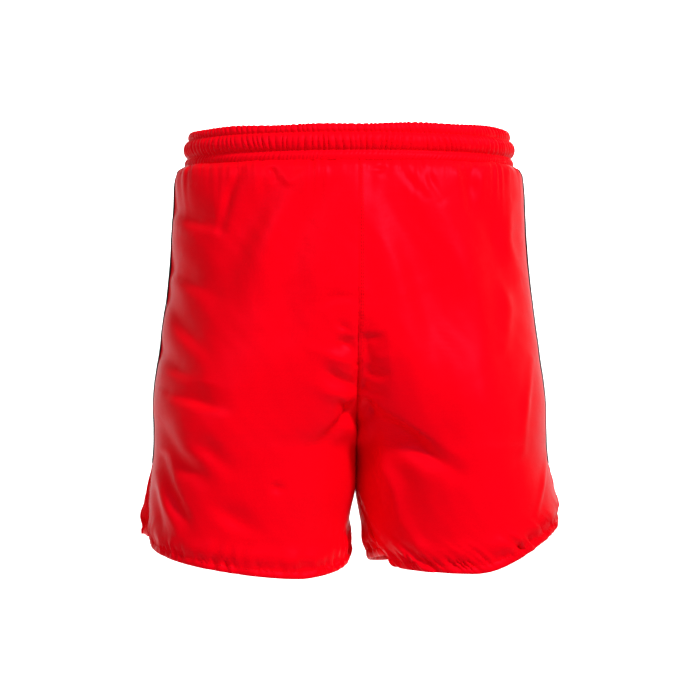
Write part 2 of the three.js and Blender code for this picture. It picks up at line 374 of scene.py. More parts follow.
# Folds of the back. A step runs out from the crotch under the seat, creases run in from the left side
# seam, and the long soft ones hang from the waistband.
BACK_FOLDS = (
    # The right leg: the step under the seat, the pull beside the centre seam and the inner thigh.
    Fold(
        ((0, -226), (20, -238), (42, -251), (63, -264), (84, -276), (109, -291)),
        -9.5, 10.5, 11, True, (0.9, 0),
    ),
    Fold(((10, -240), (36, -258), (62, -273), (92, -290)), 4.2, 8, 16, False, (0.6, 0.1)),
    Fold(((8, -160), (9, -184), (11, -212)), -4, 17, 6, True, (0.2, 0.4)),
    Fold(((3, -166), (15, -166), (27, -162)), -3, 5, 6, True, (1, 0)),
    Fold(((8, -181), (18, -182), (27, -181)), 1.4, 4, 4),
    Fold(((3, -193), (18, -197), (33, -195)), -2.2, 6, 4, True, (1, 0)),
    Fold(((3, -208), (16, -212), (28, -214)), -1.8, 6, 4, True, (1, 0)),
    Fold(((8, -226), (15, -246), (18, -264), (17, -288)), -5, 7, 6),
    Fold(((16, -276), (20, -296), (24, -314), (36, -334)), -6, 15, 8, True, (0.2, 0.1)),
    Fold(((12, -240), (20, -262), (30, -288), (36, -314), (54, -342)), 8, 8, 28),
    Fold(((38, -338), (52, -344), (66, -350)), -2.5, 5, 5, True, (0, 0)),
    Fold(((92, -344), (104, -346), (118, -343)), -2, 6, 5, True, (0, 0)),
    Fold(((14, -26), (45, -84), (66, -150), (78, -240)), -6, 22, 16),
    Fold(((10, -60), (32, -110), (48, -176)), 2.5, 13, 13),
    Fold(((62, -44), (90, -92), (108, -150), (112, -215)), 4.5, 14, 14),
    Fold(((100, -30), (122, -80), (128, -120)), -3.5, 11, 11),
    Fold(((124, -112), (134, -140), (132, -172)), 3, 6, 8),
    Fold(((138, -52), (136, -84), (146, -112)), 2.6, 5, 8),
    Fold(((157, -184), (150, -222), (147, -262)), 1.8, 3, 4),
    Fold(((171, -266), (165, -292), (158, -316)), 1.6, 1.6, 2.6),
    Fold(((38, -18), (46, -34), (60, -48)), -2.2, 4, 4),
    Fold(((56, -18), (66, -36), (74, -50)), -2.2, 4, 4),
    Fold(((98, -20), (101, -40), (100, -56)), -3, 7, 5),
    Fold(((86, -18), (92, -42)), 1.8, 4, 4),
    Fold(((110, -20), (111, -48)), 1.8, 4, 4),
    Fold(((16, -18), (24, -26)), -3, 4, 5),
    # Beside the centre seam on the left: short folds that the crotch pulls.
    Fold(((-21, -167), (-10, -171), (1, -175)), -5, 8, 6, True, (0, 0.6)),
    Fold(((-31, -186), (-22, -196), (-11, -203), (2, -206)), -4.4, 7, 5, True, (0, 0.7)),
    Fold(((5, -222), (-11, -236), (-22, -247), (-43, -263)), -6, 3.6, 4, False, (1, 0)),
    Fold(((-28, -138), (-16, -132), (2, -134)), -1.6, 4, 4),
    Fold(((-16, -154), (-7, -161)), -2, 3, 3),
    Fold(((-34, -176), (-18, -183), (2, -190)), 2, 5, 5),
    Fold(((-34, -206), (-16, -214), (3, -212)), 2.5, 7, 6),
    # The left side: creases from the side seam, each dark above its line and light below.
    Fold(((-150, -55), (-130, -66), (-98, -74)), -4.5, 15, 6, False, (0.8, 0)),
    Fold(((-154, -106), (-137, -117), (-106, -134)), -4.5, 15, 7, False, (0.8, 0)),
    Fold(((-157, -131), (-142, -158), (-108, -186)), -5, 16, 7, False, (0.7, 0)),
    Fold(((-162, -180), (-146, -192), (-120, -202)), -4.5, 12, 6, False, (0.8, 0)),
    Fold(((-154, -212), (-126, -219), (-92, -228)), -5.8, 15, 5, True, (0.4, 0)),
    Fold(((-96, -24), (-105, -48), (-111, -74)), -3, 5, 3.5),
    Fold(((-70, -20), (-67, -32)), -3, 3, 3),
    Fold(((-60, -20), (-56, -34), (-46, -30)), 1.6, 4, 4),
    Fold(((-57, -26), (-88, -72), (-112, -128)), -4.5, 14, 14),
    Fold(((-10, -26), (-48, -70), (-56, -160)), -3.5, 14, 14),
    Fold(((-30, -26), (-72, -84), (-84, -150)), 3.2, 14, 14),
    Fold(((-160, -242), (-145, -268), (-127, -281), (-106, -301)), -5.5, 9, 8, False, (0.6, 0)),
    Fold(((-161, -268), (-151, -296), (-139, -315), (-129, -331)), -5, 7, 5, True, (0.6, 0)),
    Fold(((-165, -282), (-154, -309), (-143, -330)), 2.6, 4, 4),
    Fold(((-168, -296), (-161, -323), (-150, -342)), -3.5, 6, 4, True, (0.6, 0)),
    Fold(((-138, -244), (-116, -263), (-84, -288)), -4, 10, 7, False, (0, 0)),
    Fold(((-122, -296), (-96, -318), (-68, -330)), -4, 10, 7, False, (0, 0)),
    Fold(((-72, -287), (-56, -295)), -2.4, 5, 4, True, (0, 0)),
    Fold(((-62, -262), (-78, -312), (-84, -340)), 2, 18, 18),
    Fold(((0, -318), (-14, -346)), -1.2, 3, 3),
)

FRONT_FOLDS = (
    Fold(((-8, -212), (-34, -228), (-60, -244), (-112, -278)), -8, 15, 8),
    Fold(((-12, -188), (-60, -220), (-116, -252)), 5, 9, 20),
    Fold(((6, -218), (30, -240), (64, -262)), -6, 6, 10),
    Fold(((4, -206), (34, -226), (70, -246)), 3, 12, 6),
    Fold(((-16, -26), (-42, -110), (-62, -220)), -6, 18, 18),
    Fold(((22, -26), (46, -90), (52, -150)), -5, 15, 15),
    Fold(((88, -34), (100, -110), (92, -190)), 4, 16, 16),
    Fold(((148, -150), (124, -200), (100, -240)), -6, 14, 8),
    Fold(((160, -240), (138, -290), (112, -335)), -5, 11, 11),
    Fold(((-148, -60), (-128, -120), (-108, -180)), -5, 15, 15),
    Fold(((-160, -215), (-146, -270), (-136, -325)), -5, 10, 10),
    Fold(((-6, -150), (-24, -160), (-44, -160)), -2.5, 5, 4),
    Fold(((8, -170), (22, -182), (44, -186)), -3, 5, 6),
    Fold(((52, -18), (60, -46)), -1.5, 3.5, 3.5),
    Fold(((-70, -18), (-82, -50)), -1.6, 3.5, 3.5),
    Fold(((-104, -18), (-112, -44)), -1.4, 3.5, 3.5),
)

CUTS = (
    Cut("back_left", LEFT_LEG, Face.BACK, -7, 1.3, 20, -368, 22, 0.38, 20, BACK_FOLDS),
    Cut("back_right", RIGHT_LEG, Face.BACK, 4.5, 0.6, 22, -363, 37, 0.38, 3, BACK_FOLDS),
    Cut("front_left", LEFT_LEG, Face.FRONT, 6, 1, 7, -367, 29, 0.6, 18, FRONT_FOLDS),
    Cut("front_right", RIGHT_LEG, Face.FRONT, 4, 0.6, 12, -366, 42, 0.6, 15, FRONT_FOLDS),
)


class PanelForm:
    """The surface of one leg panel, with its folds, gathers and puckers.

    A place on it is u, from 0 at the centre seam or inseam to 1 at the side, and z, the height in mm.
    """

    LEVELS = 240
    COLUMNS = 200
    FLOOR = -376.0

    def __init__(self, cut: Cut) -> None:
        """Tables the smooth surface, so that any place on it is found quickly.

        Args:
            cut: the panel's cut.
        """
        self.cut = cut
        self.hand = cut.leg.hand.value
        self.heights = np.linspace(BODY.top, self.FLOOR, self.LEVELS)
        shares = np.linspace(0, 1, self.COLUMNS)
        rows, girths = [], []
        for z in self.heights:
            line = BODY.outline(cut, float(z))
            far = distances(line)
            at = shares * far[-1]
            x = np.maximum(np.interp(at, far, line[:, 0]), 0.02) * self.hand
            rows.append(np.column_stack([x, np.interp(at, far, line[:, 1]), np.full(len(at), z)]))
            girths.append(far[-1])
        self.points = np.array(rows)
        soft = smoothstep(-self.heights[1:-1], 150, 205)[:, None, None]
        for _ in range(30):
            eased = (self.points[:-2] + 2 * self.points[1:-1] + self.points[2:]) / 4
            self.points[1:-1] += (eased - self.points[1:-1]) * soft
        self.girths = np.array(girths)
        across, down = np.gradient(self.points, axis=1), np.gradient(self.points, axis=0)
        normals = np.cross(across, down) * self.hand * cut.face.value
        for _ in range(3):
            normals[1:-1] = (normals[:-2] + 2 * normals[1:-1] + normals[2:]) / 4
        self.normals = normals / np.linalg.norm(normals, axis=2, keepdims=True)

    def girth(self, z: Array) -> Array:
        """How far it is round the panel at each height, in mm."""
        return np.interp(-np.asarray(z, float), -self.heights, self.girths)

    def hem_edge(self, u: Array) -> Array:
        """The height of the panel's lower edge at each share across it."""
        to_inseam = np.clip(1 - u / 0.4, 0, 1) ** 1.3
        return self.cut.hem + self.cut.corner * smoothstep(u, self.cut.curl, 1) + self.cut.inner * to_inseam

    def sample(self, table: Array, u: Array, z: Array) -> Array:
        """Reads a table of the surface between its points.

        Args:
            table: one of the tables, by height and share.
            u: shares across.
            z: heights.

        Returns:
            One row for each place.
        """
        a = np.clip(u, 0, 1) * (self.COLUMNS - 1)
        b = np.clip((BODY.top - z) / (BODY.top - self.FLOOR), 0, 1) * (self.LEVELS - 1)
        i, j = np.minimum(a.astype(int), self.COLUMNS - 2), np.minimum(b.astype(int), self.LEVELS - 2)
        s, t = (a - i)[:, None], (b - j)[:, None]
        near = table[j, i] * (1 - s) + table[j, i + 1] * s
        return near * (1 - t) + (table[j + 1, i] * (1 - s) + table[j + 1, i + 1] * s) * t

    def relief(self, u: Array, z: Array, point: Array, normal: Array) -> Array:
        """How far folds, gathers and puckers move the cloth out.

        Args:
            u: shares across.
            z: heights.
            point: the smooth surface there.
            normal: its outward normal.

        Returns:
            The movement along the normal, in mm.
        """
        girth = self.girth(z)
        inner, outer = u * girth, (1 - u) * girth
        x = point[:, 0]
        high = sum(fold.lift(x, z) for fold in self.cut.folds)
        # Where an edge turns in to the cleft or the inseam, its folds die out, so that the seam stays closed.
        turned = smoothstep(np.abs(normal[:, 0]), 0.12, 0.42) * (x * self.hand < 60)
        fading = smoothstep(inner / (7 + 14 * smoothstep(-z, 200, 232)), 0, 1)
        below_band = BODY.top - z
        sewn = 0.35 + 0.65 * smoothstep(below_band, 0, 3)
        # They also fade at the side seam, and under the waistband, where they are sewn flat.
        high = high * (1 - turned * (1 - fading)) * smoothstep(outer, 0, 14)
        high = high * (0.15 + 0.85 * smoothstep(below_band, 0, 8))
        seed = self.hand + 1.7 * self.cut.face.value
        gathers = ripple(inner * 1.02, 7.4, seed) * np.exp(-below_band / 6)
        gathers += ripple(inner, 16, 2.2 * self.hand) * np.exp(-below_band / 17)
        above_hem = z - self.hem_edge(u)
        drawn = 1.8 * ripple(inner, 9.0, 0.7 + self.hand) * bump(above_hem, 8.5, 5.5)
        drawn += 1.4 * ripple(inner + 0.4 * z, 21, 1.9 * self.hand) * bump(above_hem, 12, 12)
        drawn += 1.5 * bump(above_hem, 17, 7) - 0.8 * bump(above_hem, 8, 3.5)
        seam = 0.3 * ripple(z + 0.7 * inner, 9.5, 0.4 * self.hand) * bump(inner, 0, 7)
        seam += 0.7 * ripple(z + 0.3 * inner, 4.6, 3.1) * bump(inner, 0, 7) * bump(z, -184, 20)
        seam = seam * smoothstep(-z, 70, 160) - 0.12 * bump(inner, 0, 1.6)
        if self.cut.leg.hand is Hand.RIGHT:
            seam = seam + 0.3 * smoothstep(inner, 0.6, 2.2) * (1 - smoothstep(inner, 5.0, 6.2))
        soft = 0.6 * np.sin(x / 17 + z / 41 + self.hand) * np.sin(z / 23 - x / 37)
        soft += 0.16 * np.sin(x / 4.1 + 1.7 * np.sin(z / 13)) * np.sin(z / 5.3 + x / 11)
        # Between the legs the cloth lies smooth, and the two legs touch until they part.
        between = smoothstep(np.abs(normal[:, 0]), 0.55, 0.9) * (x * self.hand < 40)
        touch = 0.7 * between * smoothstep(-z, 222, 245) * (1 - smoothstep(-z, 278, 298))
        soft = soft * smoothstep(outer, 0, 10) * (1 - between)
        return high + sewn * gathers * smoothstep(outer, 2, 8) + drawn + seam + soft + touch

    def place(self, u: Array, z: Array, lift: Array | float = 0.0, sink: Array | float = 0.0) -> Array:
        """Places points on the panel.

        Args:
            u: shares across.
            z: heights, in mm.
            lift: distance outwards from the folded cloth, in mm.
            sink: distance inwards for a turned-in seam allowance, in mm.

        Returns:
            Points in metres.
        """
        u, z = np.asarray(u, float), np.asarray(z, float)
        point = self.sample(self.points, u, z)
        normal = self.sample(self.normals, u, z)
        normal /= np.linalg.norm(normal, axis=1, keepdims=True)
        out = self.relief(u, z, point, normal) + lift - sink
        point = point + normal * np.asarray(out)[:, None]
        near = np.maximum(point[:, 0] * self.hand, 0.02)
        lean = BODY.lean - BODY.skew * point[:, 1]
        point[:, 0] = near * self.hand + lean * np.clip(1 - near / 140, 0, 1)
        return point * MM


FORMS = {cut.name: PanelForm(cut) for cut in CUTS}


# ------------------------------------------------------------------ meshes


def linked(name: str, data: bpy.types.ID) -> bpy.types.Object:
    """Makes an object of some data and links it to the scene."""
    obj = bpy.data.objects.new(name, data)
    bpy.context.scene.collection.objects.link(obj)
    return obj


def vertex_points(mesh: bpy.types.Mesh) -> Array:
    """The places of a mesh's vertices, one row each."""
    co = np.zeros(len(mesh.vertices) * 3)
    mesh.vertices.foreach_get("co", co)
    return co.reshape(-1, 3)


def drape(mesh: bpy.types.Mesh, points: Array, cloth: Array) -> None:
    """Moves a mesh's vertices and lays the cloth's own coordinates on it.

    Args:
        mesh: the mesh.
        points: where each vertex goes, in metres.
        cloth: its coordinates on the cloth, in metres.
    """
    mesh.vertices.foreach_set("co", points.ravel())
    corner = np.zeros(len(mesh.loops), int)
    mesh.loops.foreach_get("vertex_index", corner)
    layer = mesh.uv_layers.get("UVMap") or mesh.uv_layers.new(name="UVMap")
    layer.data.foreach_set("uv", cloth[corner].ravel())
    mesh.update()


def grid(name: str, across: int, down: int, shape: Surface, scale: Surface) -> bpy.types.Object:
    """Makes an object from a bmesh grid whose points are moved onto a surface.

    Args:
        name: the object's name.
        across: cells from side to side.
        down: cells from top to bottom.
        shape: gives a point in metres for each pair of shares, across and down.
        scale: gives the cloth's own coordinates in metres for the same pairs.

    Returns:
        The object, linked to the scene.
    """
    bm = bmesh.new()
    bm.loops.layers.uv.new("UVMap")
    bmesh.ops.create_grid(bm, x_segments=across, y_segments=down, size=1, calc_uvs=True)
    mesh = bpy.data.meshes.new(name)
    bm.to_mesh(mesh)
    bm.free()
    co = vertex_points(mesh)
    u, v = (co[:, 0] + 1) / 2, (1 - co[:, 1]) / 2
    drape(mesh, shape(u, v), scale(u, v))
    return linked(name, mesh)


def face_along(obj: bpy.types.Object, outward: Vector) -> None:
    """Turns an open sheet's faces so that, on the whole, they look along a direction.

    Args:
        obj: the sheet.
        outward: the direction.
    """
    total = sum((p.normal * p.area for p in obj.data.polygons), Vector())
    if total.dot(outward) < 0:
        obj.data.flip_normals()


def closed(obj: bpy.types.Object) -> None:
    """Joins the edges of a rolled-up grid, fills its ends and points its faces outwards."""
    bm = bmesh.new()
    bm.from_mesh(obj.data)
    bmesh.ops.remove_doubles(bm, verts=bm.verts, dist=1e-6)
    rim = [e for e in bm.edges if e.is_boundary]
    if rim:
        bmesh.ops.holes_fill(bm, edges=rim, sides=0)
    bmesh.ops.recalc_face_normals(bm, faces=bm.faces)
    bm.to_mesh(obj.data)
    bm.free()


def finish_piece(
    obj: bpy.types.Object, finish: bpy.types.Material, nodes: Sequence[str]
) -> bpy.types.Object:
    """Gives a piece its finish and the solids that it stands for.

    Args:
        obj: the piece.
        finish: its material.
        nodes: the CAD nodes that it replaces.

    Returns:
        The piece.
    """
    obj.data.materials.clear()
    obj.data.materials.append(finish)
    obj.data.shade_smooth()
    obj.data.set_sharp_from_angle(angle=math.radians(60))
    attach(obj, "root")
    if nodes:
        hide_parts(*nodes)
    log.info("%s: %d faces", obj.name, len(obj.data.polygons))
    return obj


def solidify(obj: bpy.types.Object, thickness: float, offset: float = -1.0) -> None:
    """Gives a sheet its wall, in mm, inwards unless offset says otherwise."""
    wall = obj.modifiers.new("wall", "SOLIDIFY")
    wall.thickness = thickness * MM
    wall.offset = offset


# ------------------------------------------------------------------ finishes


def blank(name: str) -> tuple[bpy.types.Material, bpy.types.NodeTree, bpy.types.Node]:
    """Makes a material, and gives it with its node tree and its shader."""
    material = bpy.data.materials.new(name)
    material.use_nodes = True
    return material, material.node_tree, material.node_tree.nodes["Principled BSDF"]


def wave_scale(pitch: float) -> float:
    """The scale of a wave texture whose bands are a pitch apart, in mm. At scale 1 they repeat every
    2 pi / 20 of a unit."""
    return 2 * math.pi / 20 / (pitch * MM)


def add(
    tree: bpy.types.NodeTree, kind: str, inputs: dict[str | int, object], **settings: object
) -> bpy.types.Node:
    """Adds a node.

    Args:
        tree: the material's node tree.
        kind: the node's type.
        inputs: for each input, a value or the output socket that feeds it.
        settings: the node's own settings.

    Returns:
        The node.
    """
    node = tree.nodes.new(kind)
    for key, value in settings.items():
        setattr(node, key, value)
    for key, value in inputs.items():
        if isinstance(value, bpy.types.NodeSocket):
            tree.links.new(value, node.inputs[key])
        else:
            node.inputs[key].default_value = value
    return node


@dataclass(frozen=True)
class WovenCloth:
    """A thin plain-woven polyester, calendered so that it has a soft sheen.

    Attributes:
        name: the material's name.
        colour: the dyed colour, as an sRGB hex code.
        deep_tone_and_shade: a deeper red, which the colour turns to at random with the slub and as painted
            shade where threads sink between their neighbours.
        roughness: how matt the threads are.
        sheen: how much light the fibre ends catch at a glancing angle.
        thread: distance between threads, in mm.
        relief: height of the weave, in mm.
    """

    name: str
    colour: str
    deep_tone_and_shade: str
    roughness: float
    sheen: float
    thread: float
    relief: float

    def build(self) -> bpy.types.Material:
        """Makes the material."""
        material, tree, shader = blank(self.name)
        uv = add(tree, "ShaderNodeUVMap", {}, uv_map="UVMap").outputs[0]
        wave = {"Vector": uv, "Scale": wave_scale(self.thread), "Distortion": 0.8, "Detail": 1.0}
        warp, weft = [add(tree, "ShaderNodeTexWave", wave, bands_direction=way).outputs["Fac"] for way in "XY"]
        weave = add(tree, "ShaderNodeMath", {0: warp, 1: weft}, operation="MULTIPLY")
        place = add(tree, "ShaderNodeTexCoord", {}).outputs["Object"]
        slub, crepe = [
            add(tree, "ShaderNodeTexNoise", {"Vector": place, "Scale": size, "Detail": 3.0, "Roughness": rough})
            for size, rough in ((900.0, 0.6), (70.0, 0.55))
        ]
        grain = add(tree, "ShaderNodeMath", {0: slub.outputs["Fac"], 1: weave.outputs[0]}, operation="ADD")
        tone = add(
            tree,
            "ShaderNodeMapRange",
            {"Value": grain.outputs[0], "From Min": 0.35, "From Max": 1.35, "To Min": 0.0, "To Max": 1.0},
        )
        # Painted shade: the colour darkens towards the deep red where the weave sinks between threads; the
        # slub's share of the darkening is random tone.
        dye_and_weave_shade = add(
            tree,
            "ShaderNodeMix",
            {"Factor": tone.outputs[0], 6: srgb(self.deep_tone_and_shade), 7: srgb(self.colour)},
            data_type="RGBA",
        )
        threads = {"Strength": 1.0, "Distance": self.relief * MM, "Height": grain.outputs[0]}
        fine = add(tree, "ShaderNodeBump", threads)
        crinkle = {"Strength": 1.0, "Distance": 0.35 * MM, "Height": crepe.outputs["Fac"]}
        soft = add(tree, "ShaderNodeBump", {**crinkle, "Normal": fine.outputs[0]})
        tree.links.new(dye_and_weave_shade.outputs[2], shader.inputs["Base Color"])
        tree.links.new(soft.outputs[0], shader.inputs["Normal"])
        shader.inputs["Roughness"].default_value = self.roughness
        shader.inputs["Specular IOR Level"].default_value = 0.12
        shader.inputs["Specular Tint"].default_value = srgb("ff4894")
        shader.inputs["Sheen Weight"].default_value = self.sheen
        shader.inputs["Sheen Roughness"].default_value = 0.45
        shader.inputs["Sheen Tint"].default_value = srgb("ff1040")
        return material


@dataclass(frozen=True)
class RibbedTape:
    """A woven charcoal tape. Its ribs run across it and catch the light as fine lines, and the grooves between
    them are painted darker as shade.
    """

    name: str = "charcoal_ribbed_tape"
    colour: str = "3a393c"
    groove_shade: str = "1e1d20"
    rib: float = 1.1

    def build(self) -> bpy.types.Material:
        """Makes the material."""
        material, tree, shader = blank(self.name)
        uv = add(tree, "ShaderNodeUVMap", {}, uv_map="UVMap").outputs[0]
        wave = {"Vector": uv, "Scale": wave_scale(self.rib), "Distortion": 0.4}
        ribs = add(tree, "ShaderNodeTexWave", wave, bands_direction="Y")
        place = add(tree, "ShaderNodeTexCoord", {}).outputs["Object"]
        fluff = add(tree, "ShaderNodeTexNoise", {"Vector": place, "Scale": 1200.0, "Detail": 2.0})
        rib = ribs.outputs["Fac"]
        height = add(tree, "ShaderNodeMath", {0: rib, 1: fluff.outputs["Fac"]}, operation="ADD")
        # Painted shade: the tape's colour darkens to the groove colour between the ribs.
        colours = {"Factor": rib, 6: srgb(self.groove_shade), 7: srgb(self.colour)}
        tone = add(tree, "ShaderNodeMix", colours, data_type="RGBA")
        relief = {"Strength": 0.8, "Distance": 0.25 * MM, "Height": height.outputs[0]}
        raised = add(tree, "ShaderNodeBump", relief)
        tree.links.new(tone.outputs[2], shader.inputs["Base Color"])
        tree.links.new(raised.outputs[0], shader.inputs["Normal"])
        shader.inputs["Roughness"].default_value = 0.62
        shader.inputs["Specular IOR Level"].default_value = 0.3
        return material


@dataclass(frozen=True)
class SpunThread:
    """Polyester sewing thread. It is smoother than the cloth, so that each stitch has a small glint."""

    name: str
    colour: str

    def build(self) -> bpy.types.Material:
        """Makes the material."""
        material, tree, shader = blank(self.name)
        place = add(tree, "ShaderNodeTexCoord", {}).outputs["Object"]
        twist = add(tree, "ShaderNodeTexNoise", {"Vector": place, "Scale": 2500.0, "Detail": 1.0})
        strands = {"Strength": 0.5, "Distance": 0.05 * MM, "Height": twist.outputs["Fac"]}
        tree.links.new(add(tree, "ShaderNodeBump", strands).outputs[0], shader.inputs["Normal"])
        shader.inputs["Base Color"].default_value = srgb(self.colour)
        shader.inputs["Roughness"].default_value = 0.42
        shader.inputs["Specular IOR Level"].default_value = 0.06
        return material


@dataclass(frozen=True)
class Finishes:
    """Every material of the garment."""

    cloth: bpy.types.Material
    gathered: bpy.types.Material
    tape: bpy.types.Material
    thread: bpy.types.Material
    dark_thread: bpy.types.Material

    @classmethod
    def build(cls) -> "Finishes":
        """Makes them all. The threads of the cloth are drawn about 1 mm apart, coarser than real ones,
        because finer ones wouldn't show."""
        return cls(
            # The second red of each cloth is its deep tone, partly painted shade in the weave's hollows.
            cloth=WovenCloth("red_woven_microfibre", "fb0014", "ea000e", 0.42, 0.08, 1.0, 0.05).build(),
            gathered=WovenCloth("red_gathered_microfibre", "f80014", "e6000e", 0.48, 0.08, 0.9, 0.06).build(),
            tape=RibbedTape().build(),
            thread=SpunThread("red_polyester_thread", "e4000f").build(),
            dark_thread=SpunThread("charcoal_polyester_thread", "2a292b").build(),
        )


# ------------------------------------------------------------------ stitching


@dataclass
class Stitching:
    """Rows of topstitching in one thread, gathered into one joined mesh.

    Attributes:
        name: the object's name.
        length: length of a stitch, in mm.
        pitch: distance from one stitch to the next.
        width: thickness of the thread.
    """

    name: str
    length: float = 2.3
    pitch: float = 2.9
    width: float = 0.5
    mesh: bmesh.types.BMesh = field(default_factory=bmesh.new)

    def row(self, line: Array) -> None:
        """Sews one row.

        Args:
            line: points of the row in metres, close together.
        """
        far = np.concatenate([[0], np.cumsum(np.linalg.norm(np.diff(line, axis=0), axis=1))]) / MM
        for start in np.arange(0.4, far[-1] - self.length, self.pitch):
            ends = [
                Vector([np.interp(at, far, line[:, axis]) for axis in range(3)])
                for at in (start, start + self.length)
            ]
            run = ends[1] - ends[0]
            if run.length < 1e-5:
                continue
            turn = run.to_track_quat("X", "Z").to_matrix().to_4x4()
            radius = self.width * MM / 2
            size = Matrix.Diagonal((run.length / 2 + 0.1 * MM, radius, radius, 1))
            bmesh.ops.create_icosphere(
                self.mesh,
                subdivisions=1,
                radius=1,
                matrix=Matrix.Translation((ends[0] + ends[1]) / 2) @ turn @ size,
            )

    def build(self, finish: bpy.types.Material, slot: str) -> bpy.types.Object:
        """Makes the object.

        Args:
            finish: the thread.
            slot: not used.

        Returns:
            The stitches, joined.
        """
        mesh = bpy.data.meshes.new(self.name)
        self.mesh.to_mesh(mesh)
        self.mesh.free()
        return finish_piece(linked(self.name, mesh), finish, ())


# ------------------------------------------------------------------ leg panels


@dataclass
class LegPanel:
    """One leg panel with its turned hem and slit edge.

    Attributes:
        form: the panel's surface.
        cloth_wall: thickness of the cloth, in mm.
        allowance: how far a seam's edge is turned in.
        across: cells across the panel.
        down: cells down it.
        sewn_at: distance of the stitches from a turned edge, in mm.
    """

    form: PanelForm
    cloth_wall: float = 0.5
    allowance: float = 4.0
    across: int = 132
    down: int = 176
    sewn_at: float = 5.9

    # The turned edge's section: distance in from the edge, and distance out from the cloth. Its outer
    # face swells between the edge and the row of stitches, where it sinks into the cloth.
    TURNING = (
        (7.4, -0.75), (7.3, -0.3), (6.5, -0.08), (5.9, 0.12), (4.7, 0.5), (3.1, 0.7), (1.5, 0.62),
        (0.45, 0.32), (0.0, -0.2), (0.45, -0.8), (1.5, -1.2), (3.1, -1.3), (5.0, -1.25), (6.8, -1.1),
        (7.4, -0.75),
    )

    def places(self, u: Array, v: Array) -> tuple[Array, Array, Array]:
        """Spreads a grid's shares over the panel, its seam allowances and its top edge.

        Args:
            u: shares across the grid.
            v: shares down it.

        Returns:
            Shares across the panel, heights, and how far each place is turned in, in mm.
        """
        spare = 2 / self.across
        inside = np.clip((u - spare) / (1 - 2 * spare), 0, 1)
        bottom = self.form.hem_edge(inside) + 2.0
        ahead = 2 / self.down
        below = np.clip((v - ahead) / (1 - ahead), 0, 1)
        eased = 0.35 * below**2 + 0.65 * below
        z = BODY.top + (bottom - BODY.top) * eased
        inner = np.clip((spare - u) / spare, 0, 1) * self.allowance
        sewn = smoothstep(z, BODY.slit_top - 4, BODY.slit_top + 2)
        outer = np.clip((u - 1 + spare) / spare, 0, 1) * (0.5 + (self.allowance - 0.5) * sewn)
        top = np.clip((ahead - v) / ahead, 0, 1) * 5.0
        return inside, z, inner + outer + top

    def build_panel(self) -> bpy.types.Object:
        """Makes the panel's cloth."""

        def shape(u: Array, v: Array) -> Array:
            """The panel's points."""
            share, z, sink = self.places(u, v)
            return self.form.place(share, z, sink=sink)

        def scale(u: Array, v: Array) -> Array:
            """Distances round and down the cloth, in metres."""
            share, z, _ = self.places(u, v)
            return np.column_stack([share * self.form.girth(z), z]) * MM

        obj = grid(f"cloth_{self.form.cut.name}", self.across, self.down, shape, scale)
        face_along(obj, Vector((0, self.form.cut.face.value, 0)))
        solidify(obj, self.cloth_wall)
        return obj

    def turned_edge(
        self, name: str, along: int, where: Callable[[Array, Array], tuple[Array, Array]], pitch: float
    ) -> bpy.types.Object:
        """Makes a turned edge as a rolled section drawn along a line.

        Args:
            name: the object's name.
            along: cells along it.
            where: gives share and height for a share along the edge and a distance in from it.
            pitch: distance between the puckers of its stitches, in mm.

        Returns:
            The closed edge.
        """
        section = np.asarray(self.TURNING)
        station = np.linspace(0, 1, len(section))

        def shape(u: Array, v: Array) -> Array:
            """The edge's points."""
            depth, out = np.interp(v, station, section[:, 0]), np.interp(v, station, section[:, 1])
            share, z = where(u, depth)
            swell = ripple(share * self.form.girth(z) + 0.8 * z, pitch, 0.9)
            return self.form.place(share, z, lift=out * (1 + 0.35 * swell * (out > 0)))

        def scale(u: Array, v: Array) -> Array:
            """Distances along and round the edge, in metres."""
            depth = np.interp(v, station, section[:, 0])
            share, z = where(u, depth)
            return np.column_stack([share * self.form.girth(z), z + depth]) * MM

        obj = grid(name, along, len(section) - 1, shape, scale)
        closed(obj)
        return obj

    def build_hem(self) -> bpy.types.Object:
        """Makes the hem and the slit's turned edge, joined."""
        form = self.form
        hem = self.turned_edge(
            f"hemming_{form.cut.name}", 150, lambda u, depth: (u, form.hem_edge(u) + depth), 8.0
        )

        def up_slit(u: Array, depth: Array) -> tuple[Array, Array]:
            """Runs up the slit from the hem."""
            low = form.hem_edge(np.ones_like(u)) + 6.0
            z = low + (BODY.slit_top + 1 - low) * u
            return 1 - depth / form.girth(z), z

        slit = self.turned_edge("slit", 40, up_slit, 11.0)
        bm = bmesh.new()
        bm.from_mesh(hem.data)
        bm.from_mesh(slit.data)
        bm.to_mesh(hem.data)
        bm.free()
        bpy.data.objects.remove(slit)
        return hem

    def sew(self, thread: Stitching) -> None:
        """Sews the hem, the slit's edge and, on the right, the two rows beside the centre seam.

        Args:
            thread: the stitching to add to.
        """
        form = self.form
        u = np.linspace(0.01, 0.99, 400)
        thread.row(form.place(u, form.hem_edge(u) + self.sewn_at, lift=0.3))
        low = float(form.hem_edge(np.ones(1))[0]) + 6
        z = np.linspace(low, BODY.slit_top, 120)
        thread.row(form.place(1 - self.sewn_at / form.girth(z), z, lift=0.3))
        if form.cut.leg.hand is Hand.RIGHT:
            z = np.linspace(BODY.top - 1, BODY.crotch_z + 12, 420)
            for inset in (2.6, 4.4):
                thread.row(form.place(inset / form.girth(z), z, lift=0.12))

    def build(self, finishes: Finishes, thread: Stitching) -> list[bpy.types.Object]:
        """Makes and dresses the panel.

        Args:
            finishes: the garment's materials.
            thread: the stitching to add to.

        Returns:
            The panel's cloth and its hem.
        """
        name = self.form.cut.name
        cloth = finish_piece(self.build_panel(), finishes.cloth, [name])
        hem = finish_piece(self.build_hem(), finishes.cloth, [f"hem_{name}"])
        self.sew(thread)
        return [cloth, hem]


# ------------------------------------------------------------------ side tapes


